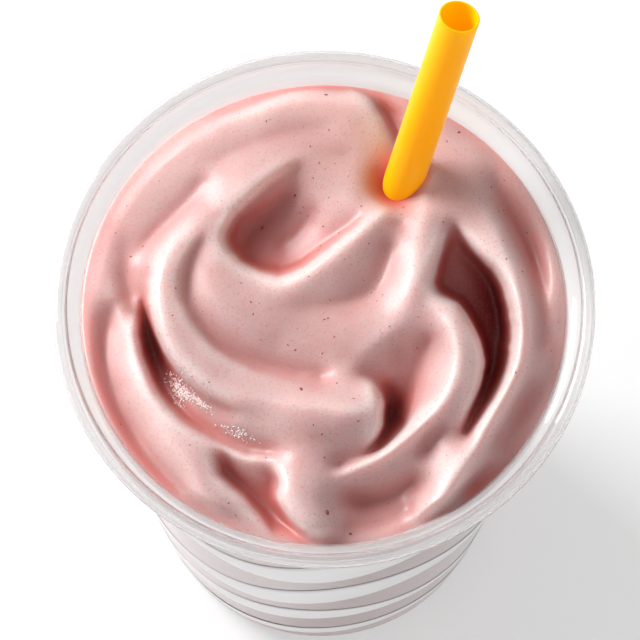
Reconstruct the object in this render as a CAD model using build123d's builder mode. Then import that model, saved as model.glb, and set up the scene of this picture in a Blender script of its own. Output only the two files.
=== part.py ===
"""A strawberry smoothie in a clear tapered cup, with a straw standing in it.

Three pieces, each its own solid: the cup, the drink that fills it, and the
straw. The origin is the middle of the cup's foot, Z points up, and the
drinker looks along +Y.  All sizes are in millimetres.
"""

import math
import os

from build123d import *

os.makedirs("parts", exist_ok=True)

# Cup: a thin blown wall that widens to a stacking shoulder and a rolled lip
CUP_HEIGHT = 120.0
BASE_RADIUS = 33.2
WALL_TOP_RADIUS = 44.0
SHOULDER_Z = 115.4
LIP_RADIUS = 49.0
BEAD_RADIUS = 1.4
WALL = 0.55
HEEL_RADIUS = 2.4
FOOT_WIDTH = 3.0
BASE_LIFT = 3.0
LIP_BOTTOM_Z = 117.4

# Drink: its level at the wall, and the folds stirred into its top
DRINK_LEVEL = 114.4
SETTLING = 4.0
RINGS = 22
SECTORS = 72

# Straw: a thin tube that leans away from the drinker and to the right
STRAW_DIAMETER = 7.3
STRAW_WALL = 0.4
STRAW_LEAN = 21.4
STRAW_TURN = 60.0
STRAW_LENGTH = 165.0
STRAW_FOOT = (-7.3, -12.0, 5.5)

# Folds in the drink's top.  Each is a route of points (x, y), the height that
# it adds along its middle, and how far it reaches to either side of it.
# The first group stands up, the second is cut down.
FOLDS = [
    # the long tongue that sweeps round from the left to the middle
    ([(-20, 16), (-29, 8), (-29, -4), (-21, -13), (-9, -16), (5, -18)], 5.0, 7.0),
    # the curl that hooks round on the right
    ([(14, 0), (21, -1), (24, -8), (20, -18), (12, -23), (3, -27)], 5.0, 5.0),
    # the ridge that runs from the straw to the middle
    ([(17, 20), (16, 8), (12, -2), (3, -10)], 3.5, 5.0),
    # the ridge along the top of the middle bowl
    ([(-12, 7), (-2, 8), (5, 14), (12, 20)], 3.0, 4.0),
    # the broad swell behind the upper left pit
    ([(-19, 19), (-10, 26), (0, 29)], 3.0, 6.0),
    # the ridge along the far side
    ([(-25, 31), (-10, 37), (2, 40), (10, 35)], 2.2, 6.0),
    # the outer ridge down the right side
    ([(22, 26), (32, 12), (34, -2), (30, -17), (22, -32), (14, -39)], 4.0, 5.0),
    # the broad roll down the left side
    ([(-36, 8), (-36, -8), (-30, -20), (-22, -30), (-16, -38)], 2.5, 5.5),
    # the ridge that runs out to the near side
    ([(5, -29), (-4, -34), (0, -42)], 3.0, 4.0),
    # the deep narrow gap left of the tongue
    ([(-32, 3), (-30, -10), (-24, -20), (-12, -26)], -6.0, 3.0),
    # the upper left pit
    ([(-14, 14), (-6, 20)], -7.0, 7.0),
    # the deep crescent pit on the right
    ([(24, 15), (28, 5), (30, -6), (27, -17)], -9.0, 4.5),
    # the pit inside the curl
    ([(14, -15), (12, -23)], -7.0, 4.0),
    # the small hollow by the straw
    ([(12, 17), (13, 14)], -2.5, 4.0),
    # the hollow at the lower left
    ([(-17, -29), (-11, -36), (-6, -42)], -3.0, 4.0),
    # the hollow at the near side
    ([(6, -35), (14, -34)], -3.0, 7.0),
    # the gap inside the outer right edge
    ([(31, 24), (38, 10), (39, -4), (35, -18)], -3.5, 3.0),
]


# The wall's outer radius grows evenly from the base to the shoulder
WALL_SLOPE = (WALL_TOP_RADIUS - BASE_RADIUS) / SHOULDER_Z
FLOOR_Z = BASE_LIFT + WALL


def inner_radius(z):
    """The radius of the cup's inside at a height."""
    return BASE_RADIUS - WALL + WALL_SLOPE * z


def distance_to_route(x, y, route):
    """The shortest distance from a point to the route's straight stretches."""
    nearest = math.inf
    for (ax, ay), (bx, by) in zip(route, route[1:]):
        along_x, along_y = bx - ax, by - ay
        share = ((x - ax) * along_x + (y - ay) * along_y) / (along_x**2 + along_y**2)
        share = min(1.0, max(0.0, share))
        nearest = min(nearest, math.dist((x, y), (ax + share * along_x, ay + share * along_y)))
    return nearest


def drink_height(x, y):
    """The height of the drink's top: its level and the folds, as smooth humps."""
    height = DRINK_LEVEL
    for route, rise, reach in FOLDS:
        share = distance_to_route(x, y, route) / reach
        height += rise * math.exp(-(share**2))
    # the folds die out where the drink meets the wall
    room = inner_radius(DRINK_LEVEL) - math.hypot(x, y)
    settled = min(1.0, max(0.0, room / SETTLING))
    return DRINK_LEVEL + (height - DRINK_LEVEL) * settled


def ring_point(radius, z, sector):
    """A corner on the ring of a radius and height."""
    angle = 2 * math.pi * sector / SECTORS
    return Vector(radius * math.cos(angle), radius * math.sin(angle), z)


def top_point(ring, sector):
    """A corner of the drink's top, on one of its rings."""
    flat = ring_point(inner_radius(DRINK_LEVEL) * ring / RINGS, 0, sector)
    return Vector(flat.X, flat.Y, drink_height(flat.X, flat.Y))


def polygon(*corners):
    """A flat face between corners."""
    return Face(Wire.make_polygon(corners))

# Cup
with BuildPart() as cup:
    with BuildSketch(Plane.XZ):
        with BuildLine():
            # outside: up from the lifted base, over the foot and the heel, to the lip
            Polyline(
                (0, BASE_LIFT),
                (BASE_RADIUS - HEEL_RADIUS - FOOT_WIDTH - BASE_LIFT, BASE_LIFT),
                (BASE_RADIUS - HEEL_RADIUS - FOOT_WIDTH, 0),
                (BASE_RADIUS - HEEL_RADIUS, 0),
            )
            heel_end = (BASE_RADIUS + WALL_SLOPE * HEEL_RADIUS, HEEL_RADIUS)
            TangentArc((BASE_RADIUS - HEEL_RADIUS, 0), heel_end, tangent=(1, 0))
            Line(heel_end, (WALL_TOP_RADIUS, SHOULDER_Z))
            shoulder_out = (LIP_RADIUS - 2 * BEAD_RADIUS, LIP_BOTTOM_Z)
            Spline(
                (WALL_TOP_RADIUS, SHOULDER_Z),
                shoulder_out,
                tangents=[(WALL_SLOPE, 1), (1, 0.4)],
            )
            # the rolled lip, a bead round the shoulder's end
            ThreePointArc(
                shoulder_out,
                (LIP_RADIUS, CUP_HEIGHT - BEAD_RADIUS),
                (LIP_RADIUS - BEAD_RADIUS, CUP_HEIGHT),
            )
            lip_inner = (LIP_RADIUS - 2 * BEAD_RADIUS - WALL, CUP_HEIGHT - BEAD_RADIUS)
            ThreePointArc(
                (LIP_RADIUS - BEAD_RADIUS, CUP_HEIGHT),
                (LIP_RADIUS - 2 * BEAD_RADIUS, CUP_HEIGHT - 0.5 * BEAD_RADIUS),
                lip_inner,
            )
            # inside: down the wall to the floor
            inner_top = (WALL_TOP_RADIUS - WALL, SHOULDER_Z)
            Line(lip_inner, inner_top)
            inner_foot = (BASE_RADIUS - WALL + WALL_SLOPE * FLOOR_Z, FLOOR_Z)
            Polyline(inner_top, inner_foot, (0, FLOOR_Z), (0, BASE_LIFT))
        make_face()
    revolve(axis=Axis.Z)
cup.part.label = "cup"

# Straw, along its own leaning axis
straw_axis = Vector(0, 0, 1).rotate(Axis.Y, STRAW_LEAN).rotate(Axis.Z, STRAW_TURN)
straw_plane = Plane(origin=STRAW_FOOT, z_dir=straw_axis)
with BuildPart() as straw:
    with BuildSketch(straw_plane):
        Circle(STRAW_DIAMETER / 2)
        Circle(STRAW_DIAMETER / 2 - STRAW_WALL, mode=Mode.SUBTRACT)
    extrude(amount=STRAW_LENGTH)
straw.part.label = "straw"

# Drink: it fills the cup to its folded top, and is cut round the straw.  Its
# top is a web of rings and sectors, with a triangle on each half cell.
drink_faces = [
    polygon(*[ring_point(inner_radius(FLOOR_Z), FLOOR_Z, sector) for sector in range(SECTORS)])
]
for sector in range(SECTORS):
    drink_faces.append(
        polygon(
            ring_point(inner_radius(FLOOR_Z), FLOOR_Z, sector),
            ring_point(inner_radius(FLOOR_Z), FLOOR_Z, sector + 1),
            ring_point(inner_radius(DRINK_LEVEL), DRINK_LEVEL, sector + 1),
            ring_point(inner_radius(DRINK_LEVEL), DRINK_LEVEL, sector),
        )
    )
    drink_faces.append(polygon(top_point(0, 0), top_point(1, sector), top_point(1, sector + 1)))
    for ring in range(1, RINGS):
        near, far = top_point(ring, sector), top_point(ring + 1, sector)
        near_next, far_next = top_point(ring, sector + 1), top_point(ring + 1, sector + 1)
        drink_faces.append(polygon(near, far, far_next))
        drink_faces.append(polygon(near, far_next, near_next))

with BuildPart() as smoothie:
    add(Solid(Shell(drink_faces)))
    add(straw.part, mode=Mode.SUBTRACT)
smoothie.part.label = "smoothie"

for piece in (cup, smoothie, straw):
    print(piece.part.label, len(piece.part.solids()), "solid", round(piece.part.volume / 1000, 2), "cm3")
    export_step(piece.part, f"parts/{piece.part.label}.step")
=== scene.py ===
"""A strawberry smoothie with a swirled top in a clear cup, with an orange straw."""

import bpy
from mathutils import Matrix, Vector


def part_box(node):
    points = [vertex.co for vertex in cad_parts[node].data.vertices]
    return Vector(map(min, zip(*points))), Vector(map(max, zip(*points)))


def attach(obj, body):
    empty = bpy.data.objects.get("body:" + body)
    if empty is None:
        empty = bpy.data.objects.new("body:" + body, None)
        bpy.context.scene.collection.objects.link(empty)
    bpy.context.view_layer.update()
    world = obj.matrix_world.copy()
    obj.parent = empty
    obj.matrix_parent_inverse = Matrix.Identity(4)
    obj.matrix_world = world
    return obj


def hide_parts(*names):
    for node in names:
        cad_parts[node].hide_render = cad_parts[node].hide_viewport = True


bl_info = {
    "name": "Strawberry smoothie",
    "version": (1, 0, 0),
    "blender": (4, 5, 0),
    "location": "View3D > Sidebar > Smoothie",
    "description": "A smoothie with a folded top in a clear tapered cup",
    "category": "Add Mesh",
}

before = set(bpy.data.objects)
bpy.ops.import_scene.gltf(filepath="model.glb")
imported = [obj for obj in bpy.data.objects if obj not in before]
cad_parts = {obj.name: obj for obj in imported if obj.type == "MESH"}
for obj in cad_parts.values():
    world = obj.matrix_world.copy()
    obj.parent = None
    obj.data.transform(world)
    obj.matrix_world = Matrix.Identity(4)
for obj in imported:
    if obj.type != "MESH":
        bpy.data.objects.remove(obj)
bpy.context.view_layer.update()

import math
import random

import bmesh
import bpy
import numpy as np
from mathutils import Matrix, Vector, noise

MM = 0.001
CUP_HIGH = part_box("cup")[1]
CUP_HEIGHT = CUP_HIGH[2] / MM
LIP_RADIUS = CUP_HIGH[0] / MM
DRINK_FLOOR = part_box("smoothie")[0][2] / MM

# The lines of the drink's top, as a stirring spoon leaves them: (x, y, height)
# along crests, flanks and hollows, in millimetres over the drink's level
LINES = {
    "tongue crest": [
        (-19, 18, 2.6), (-24, 16, 3.8), (-28, 11.5, 4.8), (-29.8, 6, 5.4), (-29.6, -1, 5.6),
        (-27.6, -7, 5.6), (-23, -12.5, 5.2), (-16, -15.5, 5.0), (-8, -17, 5.2), (0, -17.5, 6.0),
        (4.5, -18.5, 6.5), (7.6, -18.6, 6.0),
    ],
    "inner side of the crest": [
        (-24.6, 13, 4.2), (-27, 8.4, 4.9), (-27.6, 3, 5.2), (-26.6, -2.4, 5.2), (-23.4, -7.8, 5.0),
        (-17.6, -12, 4.6),
    ],
    "tongue flank": [(-16, -20.4, 2.4), (-10, -22, 3.6), (-3, -23.5, 4.4), (3, -24.5, 3.8)],
    "left of the bowl": [(-21.4, 7, 4.0), (-19.4, 1.5, 4.2), (-14.5, -2.8, 3.6), (-8, -6, 2.4)],
    "middle of the bowl": [
        (-12, 2, 3.8), (-5, 1, 3.2), (3, 1.5, 2.2), (8.5, 4, 1.7), (11, 9, 1.7), (11.8, 13, 2.0),
    ],
    "mound by the upper left pit": [(-20.4, 14, 3.6), (-19.2, 9.6, 4.0)],
    "ridge over the bowl": [
        (-12, 6.6, 2.8), (-8, 5.6, 3.6), (-4, 7.0, 4.4), (0.5, 10.4, 4.8), (6, 15.1, 4.8),
        (9.6, 18.4, 4.4), (11.2, 19.4, 3.4),
    ],
    "plateau behind the ridge": [(4.8, 20.6, 2.4), (5.6, 27, 2.2)],
    "upper left pit": [
        (-15.2, 12.6, -3.2), (-13.4, 15.6, -3.4), (-9.8, 19.4, -2.6), (-6.6, 23, -1.2),
    ],
    "floor of the upper left pit": [(-8.6, 12.4, -2.8), (-4.6, 15.4, -2.0), (-2.4, 19.6, -0.8)],
    "swell behind the pit": [
        (-19, 19.5, 3.4), (-14, 23.7, 3.8), (-9, 27.2, 3.6), (-3, 29.6, 2.8), (4, 30.4, 2.0),
    ],
    "ridge down from the straw": [
        (18, 22.5, 2.6), (17.6, 17, 4.0), (17, 11, 4.8), (16, 5, 5.2), (13.8, -1, 4.6),
        (9.5, -5.4, 3.8), (4, -8.6, 2.6),
    ],
    "hollow under the straw": [(13.4, 18.6, 2.4), (13.6, 16.6, 1.8)],
    "outer right ridge": [
        (19, 27.5, 2.2), (26, 23, 2.6), (30.2, 17.5, 3.0), (33.6, 10, 3.8), (35.4, 2, 4.6),
        (35.2, -6, 4.8), (33.2, -13, 4.8), (29.6, -20.5, 4.8), (25.6, -28, 4.6), (21.6, -34.5, 4.0),
        (17, -40, 1.8),
    ],
    "gap outside the right ridge": [
        (30.5, 26.5, 0.6), (33, 21, -1.2), (36.4, 14.6, -1.8), (38.6, 8.4, -1.4), (39.6, 2, 0.2),
        (39.4, -6, 1.0),
    ],
    "band along the right wall": [(41.4, 12, 1.2), (42.2, 4, 1.4), (42, -5, 1.2)],
    "dimple by the right wall": [(38, -13, 0.6), (35.4, -18.5, -0.2), (31.6, -25, 0.4)],
    "curl crest": [
        (17, 1.8, 4.6), (20.8, 1.2, 5.2), (23.2, -2, 6.0), (24.2, -8, 6.2), (23.2, -13, 6.0),
        (20.6, -17.4, 5.6), (16.3, -21.4, 5.4), (11.5, -25, 5.0), (6, -28.2, 4.2), (2, -30.6, 2.8),
    ],
    "curl flank": [(26.6, -3.2, 4.8), (27.6, -9, 4.6), (26.8, -14, 4.4), (24.4, -18.6, 3.6)],
    "hollow inside the curl": [
        (19.2, -5, 1.4), (17.4, -9, 0), (16.2, -13, -1.4), (15, -17.5, -3.4), (13.4, -21, -5),
    ],
    "rise to the hollow": [(13, -7, 1.4), (13.4, -10, 0)],
    "flank over the gap": [
        (-26.8, -13.4, -2.2), (-24.8, -16.6, -0.8), (-21, -19.4, 0.2), (-17, -21.8, 0.8),
        (-13.4, -24.2, 1.0),
    ],
    "left roll": [
        (-39, 14, 0.8), (-38.8, 6, 0.8), (-35.6, -4, 0.6), (-34.2, -11, 0.9), (-31.8, -17, 1.5),
        (-28.2, -24, 2.2), (-23.8, -28.6, 3.0), (-21.4, -34, 2.8), (-18, -38.5, 1.6),
    ],
    "groove in the left roll": [
        (-36, 12.5, 0.2), (-36.2, 7, -0.3), (-35.2, 2.4, -0.8), (-33.6, -1.2, -1.0),
    ],
    "groove along the left wall": [
        (-37, 2, 0), (-39.2, -3.6, -1.0), (-40, -10, -1.4), (-38.4, -17, -1.6), (-35, -24, -1.8),
        (-30.8, -30, -1.6), (-25.8, -34.8, -0.6),
    ],
    "near ridge": [(-5.4, -30, 4.2), (-5.6, -34, 4.6), (-3.4, -38.6, 4.4), (0.4, -42.4, 2.6)],
    "right side of the near ridge": [(-1.8, -31, 4.0), (-2, -35, 4.3), (0.2, -39.2, 3.8)],
    "near hollow": [(4.4, -34.4, -1.0), (7.4, -35.4, -2.0), (12, -34.6, -1.8), (17, -31.4, -0.8)],
    "near hollow's floor": [(5, -40, -0.8), (11, -39.4, -1.0), (16, -36.5, -1.0)],
    "shoulder under the curl": [(21.4, -21.5, 2.4), (18, -26, 0.8)],
    "near right gap": [(32, -28.2, 0), (28.6, -32, -2.4), (25.9, -35.3, -2.6), (24, -37.2, -0.6)],
    "far ridge": [
        (-27, 31.5, 1.4), (-20, 34.8, 2.0), (-13, 37.4, 2.6), (-7, 40, 2.8), (-1, 41.4, 2.8),
        (4, 40.6, 3.0), (7.4, 38.2, 3.0), (9.8, 34.2, 2.4), (11.6, 30.4, 1.4),
    ],
    "gap in the far ridge": [(9.6, 40.6, -1.6), (12, 36.4, -2.0), (13.6, 32.6, -0.8)],
    "trough before the far ridge": [(-22, 28, 1.9), (-10, 33.4, 2.3), (0, 35.6, 2.5)],
    "far left groove": [(-22.4, 24.6, 0.9), (-26, 19.6, 0.4), (-31, 14, 0.2), (-34.4, 9.4, 0.5)],
    "dip round the straw": [
        (9.4, 27, 0.6), (9.8, 24, -0.4), (11.2, 21.9, -0.6), (14, 21.2, 0.2), (16.2, 22, 1.4),
    ],
    "lip right of the straw": [(18.2, 24.6, 3.2), (20.6, 27.4, 2.6)],
}

# The sharp edges, where the top breaks off: (x, y, height on the left of the
# line, height on its right)
EDGES = {
    "upper left pit": [
        (-5, 28, 2.0, 2.6), (-11, 23.2, 0.4, 3.0), (-16.4, 17.6, -1.2, 3.0),
        (-17.8, 13.4, -2.0, 3.2), (-15.2, 9.6, -2.4, 3.0), (-12, 7.8, -2.4, 2.6),
        (-8, 7.0, -2.0, 3.2), (-4.6, 8.2, -1.4, 3.9), (-1, 10.8, -0.6, 4.4), (3, 14.2, 0.6, 4.5),
        (7, 17.8, 2.4, 4.2),
    ],
    "right pit, left side": [
        (22.6, 16.4, 1, 2.4), (21.4, 12, -2.6, 3.6), (20.3, 7.5, -3.8, 3.8), (20.7, 4.4, -4.6, 3.6),
        (24.6, 1.8, -6.2, 4.0), (27.6, -3, -7.4, 3.8), (29.2, -8, -8, 3.6), (28.8, -13, -7.5, 3.6),
        (27, -18, -5, 3.2), (25.3, -22, -1.4, 2.6),
    ],
    "right pit, right side": [
        (23.6, 16.4, 2.2, 0), (26.6, 12.2, 2.4, -3.6), (29.6, 9, 2.6, -5.6), (31.7, 6, 3.0, -7),
        (33.2, 1, 3.6, -8.4), (33.6, -4, 3.8, -8.4), (33, -9, 3.8, -8), (31.2, -13.5, 3.8, -7),
        (28.6, -18, 3.8, -4.6), (26, -22.2, 3.4, -1),
    ],
    "nose": [
        (6.5, -11.8, 1.6, 2.6), (9.4, -13.4, -0.6, 3.8), (11, -16.5, -5, 4.6),
        (11.3, -20, -7.6, 4.4), (10.4, -23.6, -6, 3.4), (7.5, -26.6, 1.0, 2.4), (3, -29, 2.2, 1.4),
    ],
    "tongue, outside": [
        (-31.4, 9, 3.6, 2.2), (-32, 3, 4.0, 0.4), (-31.3, -2, 4.0, -3.4), (-29.4, -7, 4.2, -5),
        (-27.2, -10.6, 4.4, -3.4), (-24, -13.8, 4.4, -0.8), (-20, -16.6, 4.2, 1.2),
        (-15, -18.8, 4.2, 2.8),
    ],
    "gap left of the tongue": [
        (-33, 1.6, -1.5, 1.2), (-32.9, -6, -5.4, 1.6), (-31.1, -12, -5, 2.0),
        (-28.6, -16.8, -3.4, 2.2), (-24.6, -21, -2, 2.4), (-19, -24.4, -1.2, 2.2),
        (-13, -27, -0.6, 2.2), (-8.6, -26.8, 0.6, 2.4),
    ],
    "inside the tongue": [
        (-22.5, 14, 3.2, 4.2), (-25, 9, 3.0, 4.8), (-25.6, 3.4, 2.8, 4.9), (-23.4, -2, 2.4, 4.9),
        (-19.2, -7, 1.6, 4.6), (-13, -10.6, 0.8, 3.6), (-6, -12.2, 0.6, 2.6), (0, -12.4, 1.2, 1.4),
    ],
    "lower left hollow": [
        (-18.8, -27.6, -1, 2.4), (-17.6, -31, -2.6, 2.2), (-13.6, -34.8, -3.0, 1.4),
        (-9.9, -39, -2.8, 0.6), (-8.2, -42, -1.2, 0.4),
    ],
    "near ridge": [
        (-8.6, -29.6, 3.4, 0.4), (-7.7, -32.2, 4.0, -1.2), (-8.1, -34.6, 4.0, -2.0),
        (-6.2, -38.2, 3.6, -2.2), (-2, -42.6, 2.2, -0.8),
    ],
    "far ridge": [
        (4.6, 43, 0.6, 2.4), (8.2, 40.8, -0.6, 2.4), (10.6, 36.8, -1, 2.2), (12.4, 32.2, -0.2, 1.4),
    ],
    "far rim": [
        (-20, 36.6, 0.8, 2.0), (-13, 39.3, 0.8, 2.6), (-7, 41.8, 0.8, 2.6), (-1, 43.1, 0.7, 2.0),
    ],
}

# How far the two sides of an edge stand off its line, in millimetres
EDGE_GAP = 0.45
# How strongly the skin between the lines puffs up, as thick drink does
PUFF = 0.05
# How far a point leans towards the drinker for each millimetre it is raised
LEAN = 0.317
# The top meets the wall in two slow waves, which start at this angle, and the
# folds die out over this last stretch before it
WALL_WAVE_START = 0.8
FOLDS_END = 3.5
# The net of heights: its coarsest count of cells, how many nets there are, each
# twice as fine as the last, and the passes in which each net settles
COARSEST_NET = 19
NETS = 5
SETTLING_PASSES = 150
# The passes that smooth the finest net, and how much of that an edge is spared
SMOOTHING_PASSES = 14
EDGE_SPARED = 0.7
# The passes that spread a cell's height into the land round it
CREASE_PASSES = 90

# The cup's base and foot, as the middle of the wall runs: radius, then height
# over the lifted base, and radius, then height over the foot
LIFTED_BASE = ((0, 0), (9, 0), (18, 0), (25, 0), (27, -0.3), (28, -1.4))
FOOT = ((28.5, 0.5), (29.1, 0), (30.4, 0), (31.6, 0.15))
HEEL = (32.5, 1.1)
# The cup's shoulder, from the wall out to the lip: radius, height
SHOULDER = ((44.15, 116.2), (44.75, 116.85), (45.5, 117.2), (46.05, 117.65))
# Where the lip's curl starts, and the turn between its points, in degrees
CURL_START = 190
CURL_TURN = -25
CURL_POINTS = 13

# The printed bands: height of the middle, width, height of the waves, and where
# the waves start; then how many waves there are in a turn, and the ink's thickness
BANDS = ((86, 20.0, 9.0, -1.9), (54, 16.0, 8.0, -1.2), (30, 11.0, 5.0, -0.6), (12, 6.0, 3.0, -1.3))
WAVES = 3
INK = 0.06

# How far the drink reaches into the clear wall, so that no gap shows
INTO_WALL = 0.3
# How deep the rings of the drink's side lie, as shares of its depth
SIDE_RINGS = (0.03, 0.12, 0.3, 0.5, 0.7, 0.86, 0.96, 1.0)

# Specks of fruit: how far out they lie, and their sizes
SPECKS_REACH = 42.5
SPECK_SIZES = (0.05, 0.06, 0.07, 0.08, 0.1, 0.13)
# The few larger bits: x, y, size, and how long they are for their width
LARGE_BITS = (
    (-3.9, -16, 0.3, 1.7), (1.1, -38.4, 0.45, 1.2), (5.3, -41.4, 0.28, 1.2), (-0.2, 41, 0.25, 1.6),
    (-11.5, 17, 0.3, 1.4), (24.2, 34.6, 0.22, 1.8), (35.8, 7.4, 0.2, 1.2), (-5.6, 22.4, 0.2, 2.0),
)
# The clusters of bubbles: x, y, spread along and across, direction, how many
CLUSTERS = (
    (-25.8, -14.4, 3.4, 1.5, 2.1, 260),
    (-22.6, -17, 4.4, 0.7, 2.4, 150),
    (-15, -23.4, 3.4, 0.7, 2.7, 90),
)
BUBBLE_SIZES = (0.07, 0.27)
# Where a ray starts that looks for the drink's top
ABOVE_ALL = 140

# The lamps: name, place from the lip's middle in metres, size, power in watts
LAMPS = (("key", (-0.67, 0.43, 0.46), 0.40, 9.9), ("fill", (0.5, -0.5, 0.5), 0.8, 0.2))
STUDIO_STRENGTH = 0.42
FLOOR_HALF_SIDE = 3.0
SENSOR = 36.0
NEAREST_SEEN = 0.05
# What the camera looks at, from the lip's middle in millimetres
AIM = (-0.695, -3.27, 0)

# The colour sockets of a Mix node, which share their names with other kinds
MIX_FIRST, MIX_SECOND, MIX_RESULT = 6, 7, 2


def mm_property(name, description, size):
    """A length that a user may change, given in millimetres."""
    return bpy.props.FloatProperty(
        name=name, description=description, default=size * MM, unit="LENGTH", precision=5
    )


def angle_property(name, description, degrees):
    """An angle that a user may change, given in degrees."""
    return bpy.props.FloatProperty(
        name=name, description=description, default=math.radians(degrees), subtype="ANGLE"
    )


def colour_property(name, description, colour):
    """A colour that a user may change."""
    return bpy.props.FloatVectorProperty(
        name=name, description=description, default=colour, subtype="COLOR", size=3, min=0.0, max=1.0
    )


class CupSettings(bpy.types.PropertyGroup):
    base_radius: mm_property("Base radius", "Outer radius of the wall at the foot", 33.2)
    wall_top_radius: mm_property("Wall radius", "Outer radius of the wall under the shoulder", 44.0)
    shoulder_height: mm_property("Shoulder height", "Height at which the wall turns outwards", 115.4)
    wall: mm_property("Wall", "Thickness of the clear wall", 0.5)
    curl_radius: mm_property("Lip radius", "Radius of the rolled lip, to its outside", 1.4)
    base_lift: mm_property("Base lift", "Height of the raised middle of the base", 3.3)
    print_colour: colour_property("Print", "Colour of the printed bands", (0.95, 0.93, 0.93))


class DrinkSettings(bpy.types.PropertyGroup):
    level: mm_property("Level", "Height of the drink at the wall", 114.6)
    fold: bpy.props.FloatProperty(
        name="Fold", description="How strongly the folds stand out", default=1.22, min=0.0
    )
    seed: bpy.props.IntProperty(name="Seed", description="Where the specks lie", default=7, min=0)
    specks: bpy.props.IntProperty(
        name="Specks", description="How many specks of fruit show", default=260, min=0
    )
    # painted highlight: the paler colour laid on the crests, where the light catches them
    pale: colour_property("Pale", "Colour of the crests", (0.91, 0.735, 0.71))
    pink: colour_property("Pink", "Colour of the body of the drink", (0.70, 0.40, 0.385))
    # painted shade: the red laid in the creases and the low parts, where shade falls
    juice: colour_property("Juice", "Colour in the creases, where juice gathers", (0.68, 0.195, 0.17))
    glow: colour_property(
        "Glow", "Colour that the straw throws on the drink beside it", (0.62, 0.045, 0.008)
    )
    # painted shade: the deep red laid in the pits
    deep: colour_property("Deep", "Colour in the pits", (0.25, 0.022, 0.022))


class StrawSettings(bpy.types.PropertyGroup):
    diameter: mm_property("Diameter", "Outer diameter of the tube", 7.3)
    wall: mm_property("Wall", "Thickness of the tube's wall", 0.4)
    length: mm_property("Length", "Length from foot to open end", 165.0)
    lean: angle_property("Lean", "Angle away from upright", 21.4)
    turn: angle_property("Turn", "Direction in which it leans", 60.0)
    foot: bpy.props.FloatVectorProperty(
        name="Foot",
        description="Middle of the lower end",
        default=(-7.3 * MM, -12.0 * MM, 5.5 * MM),
        subtype="TRANSLATION",
    )
    colour: colour_property("Colour", "Colour of the tube", (1.0, 0.53, 0.002))


class StageSettings(bpy.types.PropertyGroup):
    elevation: angle_property("Elevation", "How far above level the camera stands", 72.4)
    roll: angle_property("Roll", "Turn of the camera about its view", 0.86)
    distance: mm_property("Distance", "From the camera to the cup's lip", 800.0)
    lens: bpy.props.FloatProperty(
        name="Lens",
        description="Focal length in millimetres on a 36 mm sensor",
        default=250.77,
        subtype="DISTANCE_CAMERA",
    )


# ---- materials ----


class Value:
    """A number on a socket.  An expression on values adds its Math nodes."""

    def __init__(self, finish, socket):
        self.finish = finish
        self.socket = socket

    def maths(self, operation, *terms):
        """A Math node's answer; its terms are values or plain numbers."""
        step = self.finish.add("ShaderNodeMath", {"operation": operation}, dict(enumerate(terms)))
        return step.out("Value")

    def __add__(self, other):
        return self.maths("ADD", self, other)

    __radd__ = __add__

    def __sub__(self, other):
        return self.maths("SUBTRACT", self, other)

    def __rsub__(self, other):
        return self.maths("SUBTRACT", other, self)

    def __mul__(self, other):
        return self.maths("MULTIPLY", self, other)

    __rmul__ = __mul__

    def __lt__(self, other):
        return self.maths("LESS_THAN", self, other)

    def __gt__(self, other):
        return self.maths("GREATER_THAN", self, other)

    def clipped(self):
        """The value, held between 0 and 1."""
        return self.maths("MAXIMUM", self.maths("MINIMUM", self, 1.0), 0.0)


class Step:
    """One node of a finish."""

    def __init__(self, finish, node):
        self.finish = finish
        self.node = node

    def out(self, name):
        """What the node gives on a socket."""
        return Value(self.finish, self.node.outputs[name])


class Finish:
    """A material and its nodes."""

    def __init__(self, name):
        self.material = bpy.data.materials.new(name)
        self.material.use_nodes = True
        self.tree = self.material.node_tree
        self.tree.nodes.clear()

    def add(self, kind, settings=None, inputs=None):
        """Adds a node: its settings first, then the values or links of its sockets."""
        node = self.tree.nodes.new(kind)
        for name, setting in (settings or {}).items():
            setattr(node, name, setting)
        for name, term in (inputs or {}).items():
            if isinstance(term, Value):
                self.tree.links.new(term.socket, node.inputs[name])
            else:
                node.inputs[name].default_value = term
        return Step(self, node)

    def place(self):
        """Where on the piece a point lies."""
        return self.add("ShaderNodeTexCoord").out("Object")

    def grain(self, place, size, detail=2.0, roughness=0.5):
        """Soft noise with features of a size in millimetres."""
        inputs = {"Vector": place, "Scale": 1.0 / (size * MM), "Detail": detail, "Roughness": roughness}
        return self.add("ShaderNodeTexNoise", None, inputs).out("Fac")

    def attribute(self, name):
        """A number stored on the piece's points."""
        return self.add("ShaderNodeAttribute", {"attribute_name": name}).out("Fac")

    def blend(self, share, first, second):
        """A colour between two others."""
        inputs = {"Factor": share}
        for socket, colour in ((MIX_FIRST, first), (MIX_SECOND, second)):
            inputs[socket] = colour if isinstance(colour, Value) else (*colour, 1.0)
        return self.add("ShaderNodeMix", {"data_type": "RGBA"}, inputs).out(MIX_RESULT)

    def bump(self, height, strength, depth):
        """A normal pushed about by a height, to a depth in millimetres."""
        inputs = {"Strength": strength, "Distance": depth * MM, "Height": height}
        return self.add("ShaderNodeBump", None, inputs).out("Normal")

    def skin(self, inputs, settings=None):
        """The shader that takes a colour, a roughness and a coat."""
        return self.add("ShaderNodeBsdfPrincipled", settings, inputs).out("BSDF")

    def surface(self, shader):
        """Ends the tree with a shader."""
        self.add("ShaderNodeOutputMaterial", None, {"Surface": shader})
        return self.material


def darker(colour, share):
    """A colour with a share of its brightness."""
    return tuple(share * part for part in colour)


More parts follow.
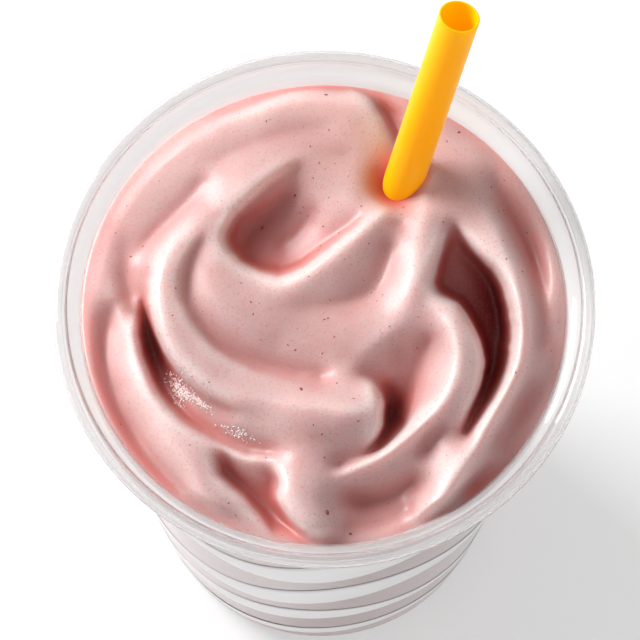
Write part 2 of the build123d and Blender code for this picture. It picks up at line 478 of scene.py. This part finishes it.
def drink_finish(settings):
    """Thick fruit and milk, with painted light: a painted highlight in a paler colour on the crests,
    painted shade in red in the creases and low parts and in deep red in the pits, and painted orange
    light from the straw.
    """
    finish = Finish("drink")
    place = finish.place()
    mottle = finish.grain(place, 9.0, 3.0)
    fine = finish.grain(place, 0.45, 2.0, 0.6)
    # painted highlight: the crests take the paler colour, with a random mottle over it
    pale = finish.attribute("crest") * 0.9 + (mottle - 0.5) * 0.5
    colour = finish.blend(pale.clipped(), settings.pink, settings.pale)
    # painted shade: creases and low parts turn red, as they look in shade
    painted_shade = finish.attribute("crease") * 0.75 + finish.attribute("low") * 0.5
    colour = finish.blend(painted_shade.clipped(), colour, settings.juice)
    # painted shade: the pits turn deep red
    colour = finish.blend(finish.attribute("hollow"), colour, settings.deep)
    colour = finish.blend(finish.attribute("glow"), colour, settings.glow)
    # pulp: a fleck in some of the cells of a fine net
    flecks = finish.add("ShaderNodeTexVoronoi", None, {"Vector": place, "Scale": 1.0 / (0.85 * MM)})
    chance = finish.add("ShaderNodeSeparateColor", None, {"Color": flecks.out("Color")}).out("Red")
    pulp = (flecks.out("Distance") < chance * 0.2 - 0.05) * 0.5
    colour = finish.blend(pulp, colour, (0.42, 0.09, 0.08))
    colour = finish.blend((fine - 0.52).clipped() * 1.6, colour, (0.55, 0.2, 0.19))
    relief = finish.grain(place, 2.6, 3.0) * 0.6 + fine * 0.4
    shader = finish.skin(
        {
            "Base Color": colour,
            "Roughness": 0.42 + mottle * 0.16,
            "Normal": finish.bump(relief, 0.35, 0.35),
            "Subsurface Weight": 0.85,
            "Subsurface Radius": (1.0, 0.18, 0.14),
            "Subsurface Scale": 3.4 * MM,
            "Specular IOR Level": 0.45,
            "Coat Weight": 0.4,
            "Coat Roughness": 0.3,
        },
        {"subsurface_method": "RANDOM_WALK"},
    )
    return finish.surface(shader)


def clear_finish():
    """Clear blown plastic that lets lamps through."""
    finish = Finish("clear cup")
    ripple = finish.grain(finish.place(), 14.0, 1.0)
    clear = finish.skin(
        {
            "Base Color": (0.88, 0.865, 0.865, 1.0),
            "Roughness": 0.03,
            "Transmission Weight": 0.84,
            "IOR": 1.45,
            "Normal": finish.bump(ripple, 0.15, 0.3),
        }
    )
    through = finish.add("ShaderNodeBsdfTransparent", None, {"Color": (0.95, 0.95, 0.95, 1.0)})
    lamp = finish.add("ShaderNodeLightPath").out("Is Shadow Ray")
    mixed = finish.add("ShaderNodeMixShader", None, {0: lamp, 1: clear, 2: through.out("BSDF")})
    return finish.surface(mixed.out("Shader"))


def print_finish(colour):
    """Opaque print, slightly uneven in gloss."""
    finish = Finish("cup print")
    wear = finish.grain(finish.place(), 3.0, 2.0)
    tone = finish.blend(wear * 0.3, colour, darker(colour, 0.93))
    shader = finish.skin(
        {"Base Color": tone, "Roughness": 0.3 + wear * 0.15, "Specular IOR Level": 0.5}
    )
    return finish.surface(shader)


def straw_finish(colour):
    """Smooth orange translucent plastic, with a constant orange emission that paints light into its
    shaded side.
    """
    finish = Finish("orange straw")
    place = finish.place()
    tone = finish.blend(finish.grain(place, 6.0, 2.0) * 0.35, colour, darker(colour, 0.82))
    shader = finish.skin(
        {
            "Base Color": tone,
            "Roughness": 0.28 + finish.grain(place, 1.5) * 0.08,
            "Normal": finish.bump(finish.grain(place, 0.8), 0.05, 0.1),
            "Subsurface Weight": 0.7,
            "Subsurface Radius": (1.0, 0.5, 0.03),
            "Subsurface Scale": 2.5 * MM,
            "Specular IOR Level": 0.15,
            "Coat Weight": 0.06,
            "Coat Roughness": 0.2,
            # painted light: an even orange emission that brightens the shaded side
            "Emission Color": (0.95, 0.30, 0.0, 1.0),
            "Emission Strength": 0.25,
        }
    )
    return finish.surface(shader)


def fruit_finish():
    """Bits of strawberry and its seeds, dark and wet."""
    finish = Finish("fruit bits")
    blotch = finish.grain(finish.place(), 1.5, 1.0)
    tone = finish.blend(blotch, (0.45, 0.09, 0.07), (0.22, 0.035, 0.03))
    shader = finish.skin({"Base Color": tone, "Roughness": 0.35 + blotch * 0.1, "Coat Weight": 0.3})
    return finish.surface(shader)


def bubble_finish():
    """Wet foam: glossy little domes, paler than the drink."""
    finish = Finish("bubbles")
    cloud = finish.grain(finish.place(), 1.0, 1.0)
    tone = finish.blend(cloud, (0.84, 0.60, 0.57), (0.95, 0.84, 0.82))
    shader = finish.skin({"Base Color": tone, "Roughness": 0.08 + cloud * 0.05, "Coat Weight": 0.8})
    return finish.surface(shader)


def floor_finish():
    """Plain pale paper."""
    finish = Finish("pale floor")
    fibre = finish.grain(finish.place(), 30.0, 2.0)
    tone = finish.blend(fibre * 0.3, (0.60, 0.60, 0.60), (0.58, 0.58, 0.58))
    shader = finish.skin(
        {
            "Base Color": tone,
            "Roughness": 0.8,
            "Emission Color": (1, 1, 1, 1),
            "Emission Strength": 0.42,
        }
    )
    return finish.surface(shader)


# ---- shapes ----


def finished(work, name, material, slot=None, replaces=None):
    """Makes an object of a bmesh, gives it its finish and joins it to the frame."""
    mesh = bpy.data.meshes.new(name)
    work.to_mesh(mesh)
    work.free()
    for face in mesh.polygons:
        face.use_smooth = True
    mesh.materials.append(material)
    piece = bpy.data.objects.new(name, mesh)
    bpy.context.scene.collection.objects.link(piece)
    if slot:
        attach(piece, "root")
    if replaces:
        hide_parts(replaces)
    return piece


def closed_up(work):
    """Merges the corners that meet and turns the faces outwards."""
    bmesh.ops.remove_doubles(work, verts=work.verts, dist=1e-6)
    bmesh.ops.recalc_face_normals(work, faces=work.faces)


def spun(profile, steps, ring=False):
    """A profile of (radius, height) in metres, spun round; a ring's ends are joined."""
    work = bmesh.new()
    verts = [work.verts.new((radius, 0, height)) for radius, height in profile]
    nexts = verts[1:] + verts[:1] if ring else verts[1:]
    edges = [work.edges.new(pair) for pair in zip(verts, nexts)]
    bmesh.ops.spin(
        work,
        geom=verts + edges,
        cent=(0, 0, 0),
        axis=(0, 0, 1),
        angle=math.tau,
        steps=steps,
        use_merge=True,
    )
    closed_up(work)
    return work


def thicken(piece, name, thickness):
    """Gives a sheet its thickness, half to each side."""
    thick = piece.modifiers.new(name, "SOLIDIFY")
    thick.thickness = thickness
    thick.offset = 0.0


def wall_radius(height, settings):
    """The outer radius of the cup's straight wall at a height, in millimetres."""
    rise = height / (settings.shoulder_height / MM)
    return (settings.base_radius + (settings.wall_top_radius - settings.base_radius) * rise) / MM


def round_the_wall(radius, turn, height):
    """A place at a radius, an angle and a height, all given in millimetres."""
    return Vector((radius * math.cos(turn), radius * math.sin(turn), height)) * MM


# ---- the drink's top ----


def smooth_route(points, spacing=0.12):
    """Points set close together on a smooth line through the points of a route."""
    points = np.array(points, float)
    ends = np.vstack([2 * points[0] - points[1], points, 2 * points[-1] - points[-2]])
    line = []
    for before, start, end, after in zip(ends, ends[1:], ends[2:], ends[3:]):
        parts = max(2, int(math.dist(start[:2], end[:2]) / spacing))
        t = np.linspace(0, 1, parts, endpoint=False)[:, None]
        square = 2 * before - 5 * start + 4 * end - after
        cube = 3 * start - before - 3 * end + after
        line.append(0.5 * (2 * start + (end - before) * t + (square * t**2 + cube * t**3)))
    return np.vstack(line + [points[-1:]])


def known_heights(rim, wall_points=1500):
    """Every place of the top whose height is known: its lines, its edges and the wall."""
    known = [smooth_route(line) for line in LINES.values()]
    for edge in EDGES.values():
        line = smooth_route(edge)
        along = np.gradient(line[:, :2], axis=0)
        across = np.column_stack([-along[:, 1], along[:, 0]]) / np.linalg.norm(along, axis=1)[:, None]
        for side, height in ((EDGE_GAP, line[:, 2]), (-EDGE_GAP, line[:, 3])):
            known.append(np.column_stack([line[:, :2] + side * across, height]))
    turn = np.linspace(0, math.tau, wall_points)
    level = 0.5 + 0.45 * np.sin(2 * turn + WALL_WAVE_START)
    known.append(np.column_stack([rim * np.cos(turn), rim * np.sin(turn), level]))
    return np.vstack(known)


def neighbours(heights):
    """The mean of the four cells round each cell."""
    wide = np.pad(heights, 1, mode="edge")
    return (wide[:-2, 1:-1] + wide[2:, 1:-1] + wide[1:-1, :-2] + wide[1:-1, 2:]) / 4


def cells_of(places, rim, size):
    """The row and the column of the net in which each place lies."""
    cell = 2 * rim / size
    spots = np.clip(((places[:, :2] + rim) / cell).astype(int), 0, size - 1)
    return spots[:, 1], spots[:, 0]


def relief(rim):
    """The top's heights on a square net: a skin drawn over the known heights.

    The net is refined in steps.  In each, every free cell settles to the mean
    of its neighbours, a little puffed up.  Then all is smoothed, the sharp
    edges less than the rest.
    """
    known = known_heights(rim)
    heights = np.zeros((COARSEST_NET, COARSEST_NET))
    for step in range(NETS):
        if step:
            heights = heights.repeat(2, axis=0).repeat(2, axis=1)
        size = len(heights)
        spots = cells_of(known, rim, size)
        count = np.zeros((size, size))
        total = np.zeros((size, size))
        np.add.at(count, spots, 1)
        np.add.at(total, spots, known[:, 2])
        held = count > 0
        mean = total / np.maximum(count, 1)
        puff = PUFF * (2 * rim / size) ** 2 / 4
        for _ in range(SETTLING_PASSES):
            heights = np.where(held, mean, neighbours(heights) + puff)
    edges = np.vstack([smooth_route(edge)[:, :2] for edge in EDGES.values()])
    sharp = np.zeros_like(heights)
    sharp[cells_of(edges, rim, size)] = 1
    for _ in range(2):
        sharp = np.maximum(sharp, np.minimum(1, 1.6 * neighbours(sharp)))
    for _ in range(SMOOTHING_PASSES):
        heights += (neighbours(heights) - heights) * (1 - EDGE_SPARED * sharp)
    return heights


def creases(heights):
    """How far each cell lies under the mean of the land round it."""
    mean = heights
    for _ in range(CREASE_PASSES):
        mean = neighbours(mean)
    return mean - heights


def read_off(heights, rim, x, y):
    """The net's height at many points, between its cells."""
    size = len(heights)
    column = np.clip((x + rim) / (2 * rim) * size - 0.5, 0, size - 1.001)
    row = np.clip((y + rim) / (2 * rim) * size - 0.5, 0, size - 1.001)
    left, low = column.astype(int), row.astype(int)
    right, up = column - left, row - low
    lower = heights[low, left] * (1 - right) + heights[low, left + 1] * right
    upper = heights[low + 1, left] * (1 - right) + heights[low + 1, left + 1] * right
    return lower * (1 - up) + upper * up


def points_of(mesh):
    """The places of a mesh's points, in metres."""
    places = np.empty(len(mesh.vertices) * 3)
    mesh.vertices.foreach_get("co", places)
    return places.reshape(-1, 3)


def store(mesh, name, amounts):
    """Stores a number on each of a mesh's points, for its finish to read."""
    mesh.attributes.new(name, "FLOAT", "POINT").data.foreach_set("value", amounts)


def add_bit(work, x, y, size, stretch, turn):
    """Drops one small rounded bit at (x, y), where it lies flat on the drink's top."""
    drink = bpy.data.objects["drink"]
    hit, place, normal, _ = drink.ray_cast(Vector((x, y, ABOVE_ALL)) * MM, Vector((0, 0, -1)))
    if not hit:
        return
    facing = normal.to_track_quat("Z", "Y").to_matrix().to_4x4()
    shape = Matrix.Diagonal((size * stretch, size, size * 0.55, 1.0))
    spot = Matrix.Translation(place) @ facing @ Matrix.Rotation(turn, 4, "Z") @ shape
    bmesh.ops.create_icosphere(work, subdivisions=1, radius=1.0, matrix=spot)


# ---- pieces ----


class SMOOTHIE_OT_cup(bpy.types.Operator):
    """Blow the clear cup: lifted base, tapered wall, shoulder and rolled lip"""

    bl_idname = "smoothie.cup"
    bl_label = "Clear cup"

    def execute(self, context):
        settings = context.scene.smoothie_cup
        half_wall = settings.wall / MM / 2
        base, lift = settings.base_radius / MM, settings.base_lift / MM
        curl = settings.curl_radius / MM
        profile = [(radius, lift + height) for radius, height in LIFTED_BASE]
        profile += [(radius, half_wall + height) for radius, height in FOOT]
        profile += [HEEL, (base - half_wall, 2.6), (base - half_wall + 0.02, 2.8)]
        wall_foot, wall_top, rings = 4, settings.shoulder_height / MM, 14
        for step in range(1, rings + 1):
            height = wall_foot + (wall_top - wall_foot) * step / rings
            profile.append((wall_radius(height, settings) - half_wall, height))
        profile += SHOULDER
        # the lip's middle stands in a little, to leave room for the rounding
        lip_radius, lip_height = LIP_RADIUS - curl - 0.05, CUP_HEIGHT - curl
        for step in range(CURL_POINTS):
            angle = math.radians(CURL_START + CURL_TURN * step)
            across, up = (curl - half_wall) * math.cos(angle), (curl - half_wall) * math.sin(angle)
            profile.append((lip_radius + across, lip_height + up))
        work = spun([(radius * MM, height * MM) for radius, height in profile], 120)
        cup = finished(work, "clear_cup", clear_finish(), "clear_cup", replaces="cup")
        thicken(cup, "wall", settings.wall)
        rounded = cup.modifiers.new("rounding", "SUBSURF")
        rounded.levels = rounded.render_levels = 1
        return {"FINISHED"}


class SMOOTHIE_OT_print(bpy.types.Operator):
    """Print the bands of gentle waves round the cup"""

    bl_idname = "smoothie.print"
    bl_label = "Printed bands"

    def execute(self, context):
        settings = context.scene.smoothie_cup
        off_wall = 0.04
        work = bmesh.new()
        for height, width, wave, start in BANDS:
            strip = bmesh.ops.create_grid(work, x_segments=288, y_segments=4, size=1.0)
            for vert in strip["verts"]:
                angle = (vert.co.x + 1) * math.pi
                swell = 0.65 + 0.35 * math.sin(WAVES * angle + start + 1.2)
                level = height + wave * math.sin(WAVES * angle + start) + vert.co.y * width * swell / 2
                vert.co = round_the_wall(wall_radius(level, settings) + off_wall, angle, level)
        closed_up(work)
        bands = finished(work, "printed_bands", print_finish(tuple(settings.print_colour)), "cup_print")
        thicken(bands, "ink", INK * MM)
        return {"FINISHED"}


class SMOOTHIE_OT_drink(bpy.types.Operator):
    """Fill the cup with the drink and fold its top"""

    bl_idname = "smoothie.drink"
    bl_label = "Drink"

    def execute(self, context):
        cup = context.scene.smoothie_cup
        settings = context.scene.smoothie_drink
        level = settings.level / MM
        inside = cup.wall / MM - INTO_WALL
        rim = wall_radius(level, cup) - inside
        cells = 284
        work = bmesh.new()
        bmesh.ops.create_grid(work, x_segments=cells, y_segments=cells, size=1.0)
        # a square net drawn out into a round one
        for vert in work.verts:
            across, back = vert.co.x, vert.co.y
            vert.co.x = across * math.sqrt(1 - back**2 / 2) * rim * MM
            vert.co.y = back * math.sqrt(1 - across**2 / 2) * rim * MM
        # its edge is drawn down the wall, ring by ring, and closed at the floor
        edge = [item for item in work.edges if item.is_boundary]
        for share in SIDE_RINGS:
            height = (DRINK_FLOOR - level) * share
            grown = bmesh.ops.extrude_edge_only(work, edges=edge)["geom"]
            radius = wall_radius(level + height, cup) - inside
            for vert in (item for item in grown if isinstance(item, bmesh.types.BMVert)):
                vert.co = round_the_wall(radius, math.atan2(vert.co.y, vert.co.x), height)
            edge = [item for item in grown if isinstance(item, bmesh.types.BMEdge) and item.is_boundary]
        bmesh.ops.edgeloop_fill(work, edges=edge)
        bmesh.ops.recalc_face_normals(work, faces=work.faces)
        drink = finished(work, "drink", drink_finish(settings), "drink", replaces="smoothie")
        self.fold_top(drink.data, level, rim, settings.fold)
        self.colour_by_straw(drink.data, context.scene.smoothie_straw)
        return {"FINISHED"}

    def fold_top(self, mesh, level, rim, fold):
        """Raises the folds, and stores where the crests, creases, pits and low parts are, as masks for
        the painted highlight and the painted shade.
        """
        places = points_of(mesh) / MM
        top = places[:, 2] > -0.001
        x, y = places[top, 0], places[top, 1]
        settled = np.clip((rim - np.hypot(x, y)) / FOLDS_END, 0, 1)
        settled = settled * settled * (3 - 2 * settled)
        swell = np.array([noise.noise(Vector((a, b, 0)) / 7.0) for a, b in zip(x, y)])
        heights = relief(rim) * fold
        folded = read_off(heights, rim, x, y) + 0.3 * swell
        at_wall = 0.35 + 0.5 * np.sin(2 * np.arctan2(y, x) + WALL_WAVE_START)
        folded = folded * (0.15 + 0.85 * settled) + at_wall * (1 - settled)
        places[top, 2] = folded
        places[top, 1] -= LEAN * folded * settled
        places[:, 2] += level
        mesh.vertices.foreach_set("co", (places * MM).ravel())
        dip = read_off(creases(heights), rim, x, y)
        stored = {
            # painted highlight on the crests
            "crest": np.clip(0.18 - 0.8 * dip, 0, 1),
            # painted shade in the pits
            "hollow": np.clip((-folded - 0.6) / 8.0, 0, 1) ** 0.8,
            # painted shade in the creases
            "crease": np.clip(0.6 * dip - 0.08, 0, 1),
            # painted shade in the low parts
            "low": np.clip((1.2 - folded) / 4.5, 0, 1),
        }
        for name, on_top in stored.items():
            amounts = np.zeros(len(places))
            amounts[top] = on_top
            store(mesh, name, amounts)
        mesh.update()

    def colour_by_straw(self, mesh, straw):
        """Stores how much orange light each point gets from the straw's lit left side."""
        offset = (points_of(mesh) - np.array(straw.foot)) / MM
        lean, turn = straw.lean, straw.turn
        outwards = math.sin(lean)
        axis = np.array([outwards * math.cos(turn), outwards * math.sin(turn), math.cos(lean)])
        away = offset - (offset @ axis)[:, None] * axis
        distance = np.linalg.norm(away, axis=1)
        leftward = 0.5 - 0.5 * away[:, 0] / np.maximum(distance, 0.01)
        reach = 1.2 + 3.4 * leftward
        near = np.clip(1 - (distance - straw.diameter / MM / 2) / reach, 0, 1)
        store(mesh, "glow", near**1.2 * (0.4 + 0.6 * leftward))


class SMOOTHIE_OT_fruit(bpy.types.Operator):
    """Scatter specks of fruit and seed over the drink"""

    bl_idname = "smoothie.fruit"
    bl_label = "Fruit bits"

    def execute(self, context):
        settings = context.scene.smoothie_drink
        draw = random.Random(settings.seed)
        work = bmesh.new()
        for _ in range(settings.specks):
            out = SPECKS_REACH * math.sqrt(draw.random())
            turn = draw.uniform(0, math.tau)
            size = draw.choice(SPECK_SIZES) * MM
            stretch = draw.uniform(1.0, 2.2)
            spin = draw.uniform(0, math.pi)
            add_bit(work, out * math.cos(turn), out * math.sin(turn), size, stretch, spin)
        for x, y, size, stretch in LARGE_BITS:
            add_bit(work, x, y, size * MM, stretch, 0.3 * x)
        finished(work, "fruit_bits", fruit_finish(), "drink")
        return {"FINISHED"}


class SMOOTHIE_OT_bubbles(bpy.types.Operator):
    """Set clusters of little wet bubbles on the flank of the tongue"""

    bl_idname = "smoothie.bubbles"
    bl_label = "Bubbles"

    def execute(self, context):
        draw = random.Random(context.scene.smoothie_drink.seed + 1)
        work = bmesh.new()
        for x, y, along, across, direction, count in CLUSTERS:
            ahead, aside = math.cos(direction), math.sin(direction)
            for _ in range(count):
                far, wide = draw.gauss(0, along / 2), draw.gauss(0, across / 2)
                size = draw.uniform(*BUBBLE_SIZES) * MM
                place = x + far * ahead - wide * aside, y + far * aside + wide * ahead
                add_bit(work, *place, size, 1.0, 0.0)
        finished(work, "wet_bubbles", bubble_finish(), "drink")
        return {"FINISHED"}


class SMOOTHIE_OT_straw(bpy.types.Operator):
    """Stand the straw in the drink"""

    bl_idname = "smoothie.straw"
    bl_label = "Straw"

    def execute(self, context):
        settings = context.scene.smoothie_straw
        outer = settings.diameter / 2
        inner = outer - settings.wall
        half = settings.wall / 2
        profile = []
        # over the rounded end, down the inside, and up the outside
        for step in range(7):
            angle = math.pi * step / 6
            height = settings.length - half + half * math.sin(angle)
            profile.append((inner + half + half * math.cos(angle), height))
        quarters = (0.25, 0.5, 0.75)
        profile += [(inner, settings.length * share) for share in reversed(quarters)]
        profile += [(inner, 0.0), (outer, 0.0)]
        profile += [(outer, settings.length * share) for share in quarters]
        work = spun(profile, 96, ring=True)
        stand = Matrix.Translation(settings.foot) @ Matrix.Rotation(settings.turn, 4, "Z")
        stand = stand @ Matrix.Rotation(settings.lean, 4, "Y")
        bmesh.ops.transform(work, matrix=stand, verts=work.verts)
        finished(work, "orange_straw", straw_finish(tuple(settings.colour)), "straw", replaces="straw")
        return {"FINISHED"}


class SMOOTHIE_OT_stage(bpy.types.Operator):
    """Lay the pale floor, hang the lamps and place the camera"""

    bl_idname = "smoothie.stage"
    bl_label = "Stage"

    def lamp(self, name, place, aim, size, power):
        """Hangs a square soft lamp that points at a spot."""
        light = bpy.data.lights.new(name, "AREA")
        light.size = size
        light.energy = power
        holder = bpy.data.objects.new(name, light)
        holder.location = place
        holder.rotation_euler = (aim - place).to_track_quat("-Z", "Y").to_euler()
        bpy.context.scene.collection.objects.link(holder)

    def execute(self, context):
        scene = context.scene
        settings = scene.smoothie_stage
        work = bmesh.new()
        bmesh.ops.create_grid(work, x_segments=4, y_segments=4, size=FLOOR_HALF_SIDE)
        floor = finished(work, "floor", floor_finish())

        top = Vector((0, 0, CUP_HEIGHT * MM))
        for name, place, size, power in LAMPS:
            self.lamp(name, top + Vector(place), top, size, power)

        world = bpy.data.worlds.new("studio")
        world.use_nodes = True
        background = world.node_tree.nodes["Background"].inputs
        background["Color"].default_value = (1, 1, 1, 1)
        background["Strength"].default_value = STUDIO_STRENGTH
        scene.world = world
        scene.view_settings.view_transform = "Standard"

        lens = bpy.data.cameras.new("camera")
        lens.lens = settings.lens
        lens.sensor_width = SENSOR
        lens.clip_start = NEAREST_SEEN
        camera = bpy.data.objects.new("camera", lens)
        ahead = Vector((0, math.cos(settings.elevation), -math.sin(settings.elevation)))
        right = Vector((1, 0, 0))
        turned = Matrix.Rotation(settings.roll, 3, -ahead)
        rotation = Matrix((turned @ right, turned @ right.cross(ahead), -ahead)).transposed()
        aim = top + Vector(AIM) * MM
        camera.matrix_world = Matrix.Translation(aim - ahead * settings.distance) @ rotation.to_4x4()
        scene.collection.objects.link(camera)
        scene.camera = camera
        return {"FINISHED"}


class SMOOTHIE_PT_panel(bpy.types.Panel):
    """The settings of the smoothie, and its pieces in the order in which they are made"""

    bl_label = "Smoothie"
    bl_idname = "SMOOTHIE_PT_panel"
    bl_space_type = "VIEW_3D"
    bl_region_type = "UI"
    bl_category = "Smoothie"

    def draw(self, context):
        for place, group in SETTINGS.items():
            box = self.layout.box()
            for name in group.__annotations__:
                box.prop(getattr(context.scene, place), name)
        for operator in OPERATORS:
            self.layout.operator(operator.bl_idname)


SETTINGS = {
    "smoothie_cup": CupSettings,
    "smoothie_drink": DrinkSettings,
    "smoothie_straw": StrawSettings,
    "smoothie_stage": StageSettings,
}
OPERATORS = (
    SMOOTHIE_OT_cup,
    SMOOTHIE_OT_print,
    SMOOTHIE_OT_drink,
    SMOOTHIE_OT_fruit,
    SMOOTHIE_OT_bubbles,
    SMOOTHIE_OT_straw,
    SMOOTHIE_OT_stage,
)


def register():
    for name, group in SETTINGS.items():
        bpy.utils.register_class(group)
        setattr(bpy.types.Scene, name, bpy.props.PointerProperty(type=group))
    for operator in OPERATORS:
        bpy.utils.register_class(operator)
    bpy.utils.register_class(SMOOTHIE_PT_panel)


def unregister():
    bpy.utils.unregister_class(SMOOTHIE_PT_panel)
    for operator in reversed(OPERATORS):
        bpy.utils.unregister_class(operator)
    for name, group in SETTINGS.items():
        delattr(bpy.types.Scene, name)
        bpy.utils.unregister_class(group)


def main():
    register()
    bpy.ops.smoothie.cup()
    bpy.ops.smoothie.print()
    bpy.ops.smoothie.drink()
    bpy.ops.smoothie.fruit()
    bpy.ops.smoothie.bubbles()
    bpy.ops.smoothie.straw()
    bpy.ops.smoothie.stage()
    bpy.context.view_layer.update()


if __name__ == "__main__":
    main()
